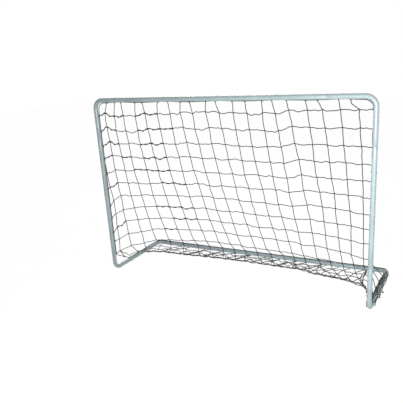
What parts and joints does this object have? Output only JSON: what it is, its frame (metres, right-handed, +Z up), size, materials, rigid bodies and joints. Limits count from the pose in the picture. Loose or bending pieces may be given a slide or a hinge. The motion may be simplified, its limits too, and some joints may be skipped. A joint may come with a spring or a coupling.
{
  "type": "portable soccer goal",
  "caption": "Free-standing portable soccer goal: plug-together steel tube frame with snap-button joints and a black cord net sloping back to the base",
  "frame": {"origin": "on the ground, under the centre of the goal's bounding box", "axes": "+X across the goal, to the right when looking into the mouth along +Y; the mouth faces -Y; +Z up"},
  "size_m": [1.8046, 0.6043, 1.202],
  "materials": {
    "tube_paint": "satin silver-grey",
    "spring_steel": "zinc plated",
    "net_twine": "matt knotted twine",
    "border_rope": "matt braided cord",
    "nylon": "natural translucent white"
  },
  "bodies": {
    "frame": {"crossbar_tube": "tube_paint", "top_corner_tube_left": "tube_paint", "top_corner_tube_right": "tube_paint", "post_tube_left": "tube_paint", "post_tube_right": "tube_paint", "foot_tube_left": "tube_paint", "foot_tube_right": "tube_paint", "rear_corner_tube_left": "tube_paint", "rear_corner_tube_right": "tube_paint", "rear_tube": "tube_paint", "spring_clip_crossbar_left": "spring_steel", "spring_clip_post_top_left": "spring_steel", "spring_clip_post_foot_left": "spring_steel", "spring_clip_side_left": "spring_steel", "spring_clip_rear_left": "spring_steel", "spring_clip_crossbar_right": "spring_steel", "spring_clip_post_top_right": "spring_steel", "spring_clip_post_foot_right": "spring_steel", "spring_clip_side_right": "spring_steel", "spring_clip_rear_right": "spring_steel", "back_net": "net_twine", "side_net_left": "net_twine", "side_net_right": "net_twine", "net_skirt": "net_twine", "net_border_cord": "border_rope", "cable_tie_01": "nylon", "cable_tie_02": "nylon", "cable_tie_03": "nylon", "cable_tie_04": "nylon", "cable_tie_05": "nylon", "cable_tie_06": "nylon", "cable_tie_07": "nylon", "cable_tie_08": "nylon", "cable_tie_09": "nylon", "cable_tie_10": "nylon", "cable_tie_11": "nylon", "cable_tie_12": "nylon", "cable_tie_13": "nylon", "net_clip_1": "nylon", "net_clip_2": "nylon", "net_clip_3": "nylon", "net_clip_4": "nylon", "net_clip_5": "nylon", "net_clip_6": "nylon", "net_clip_7": "nylon", "net_clip_8": "nylon"},
    "button_crossbar_left": {"snap_button_crossbar_left": "spring_steel"},
    "button_post_top_left": {"snap_button_post_top_left": "spring_steel"},
    "button_post_foot_left": {"snap_button_post_foot_left": "spring_steel"},
    "button_side_left": {"snap_button_side_left": "spring_steel"},
    "button_rear_left": {"snap_button_rear_left": "spring_steel"},
    "button_crossbar_right": {"snap_button_crossbar_right": "spring_steel"},
    "button_post_top_right": {"snap_button_post_top_right": "spring_steel"},
    "button_post_foot_right": {"snap_button_post_foot_right": "spring_steel"},
    "button_side_right": {"snap_button_side_right": "spring_steel"},
    "button_rear_right": {"snap_button_rear_right": "spring_steel"}
  },
  "joints": [
    {"name": "crossbar_left_button_press", "type": "hinge", "parent": "frame", "child": "button_crossbar_left", "pos_m": [-0.646, -0.27615, 1.186], "axis": [0, 0, -1], "range_deg": [0, 4.8], "stiffness_Nm_per_rad": 3, "springref_deg": -5.73},
    {"name": "post_top_left_button_press", "type": "hinge", "parent": "frame", "child": "button_post_top_left", "pos_m": [-0.886, -0.27615, 0.946], "axis": [-1, 0, 0], "range_deg": [0, 4.8], "stiffness_Nm_per_rad": 3, "springref_deg": -5.73},
    {"name": "post_foot_left_button_press", "type": "hinge", "parent": "frame", "child": "button_post_foot_left", "pos_m": [-0.886, -0.27615, 0.254], "axis": [1, 0, 0], "range_deg": [0, 4.8], "stiffness_Nm_per_rad": 3, "springref_deg": -5.73},
    {"name": "side_left_button_press", "type": "hinge", "parent": "frame", "child": "button_side_left", "pos_m": [-0.87615, -0.046, 0.014], "axis": [0, 0, 1], "range_deg": [0, 4.8], "stiffness_Nm_per_rad": 3, "springref_deg": -5.73},
    {"name": "rear_left_button_press", "type": "hinge", "parent": "frame", "child": "button_rear_left", "pos_m": [-0.696, 0.27615, 0.014], "axis": [0, 0, 1], "range_deg": [0, 4.8], "stiffness_Nm_per_rad": 3, "springref_deg": -5.73},
    {"name": "crossbar_right_button_press", "type": "hinge", "parent": "frame", "child": "button_crossbar_right", "pos_m": [0.646, -0.27615, 1.186], "axis": [0, 0, 1], "range_deg": [0, 4.8], "stiffness_Nm_per_rad": 3, "springref_deg": -5.73},
    {"name": "post_top_right_button_press", "type": "hinge", "parent": "frame", "child": "button_post_top_right", "pos_m": [0.886, -0.27615, 0.946], "axis": [-1, 0, 0], "range_deg": [0, 4.8], "stiffness_Nm_per_rad": 3, "springref_deg": -5.73},
    {"name": "post_foot_right_button_press", "type": "hinge", "parent": "frame", "child": "button_post_foot_right", "pos_m": [0.886, -0.27615, 0.254], "axis": [1, 0, 0], "range_deg": [0, 4.8], "stiffness_Nm_per_rad": 3, "springref_deg": -5.73},
    {"name": "side_right_button_press", "type": "hinge", "parent": "frame", "child": "button_side_right", "pos_m": [0.87615, -0.046, 0.014], "axis": [0, 0, -1], "range_deg": [0, 4.8], "stiffness_Nm_per_rad": 3, "springref_deg": -5.73},
    {"name": "rear_right_button_press", "type": "hinge", "parent": "frame", "child": "button_rear_right", "pos_m": [0.696, 0.27615, 0.014], "axis": [0, 0, -1], "range_deg": [0, 4.8], "stiffness_Nm_per_rad": 3, "springref_deg": -5.73}
  ]
}
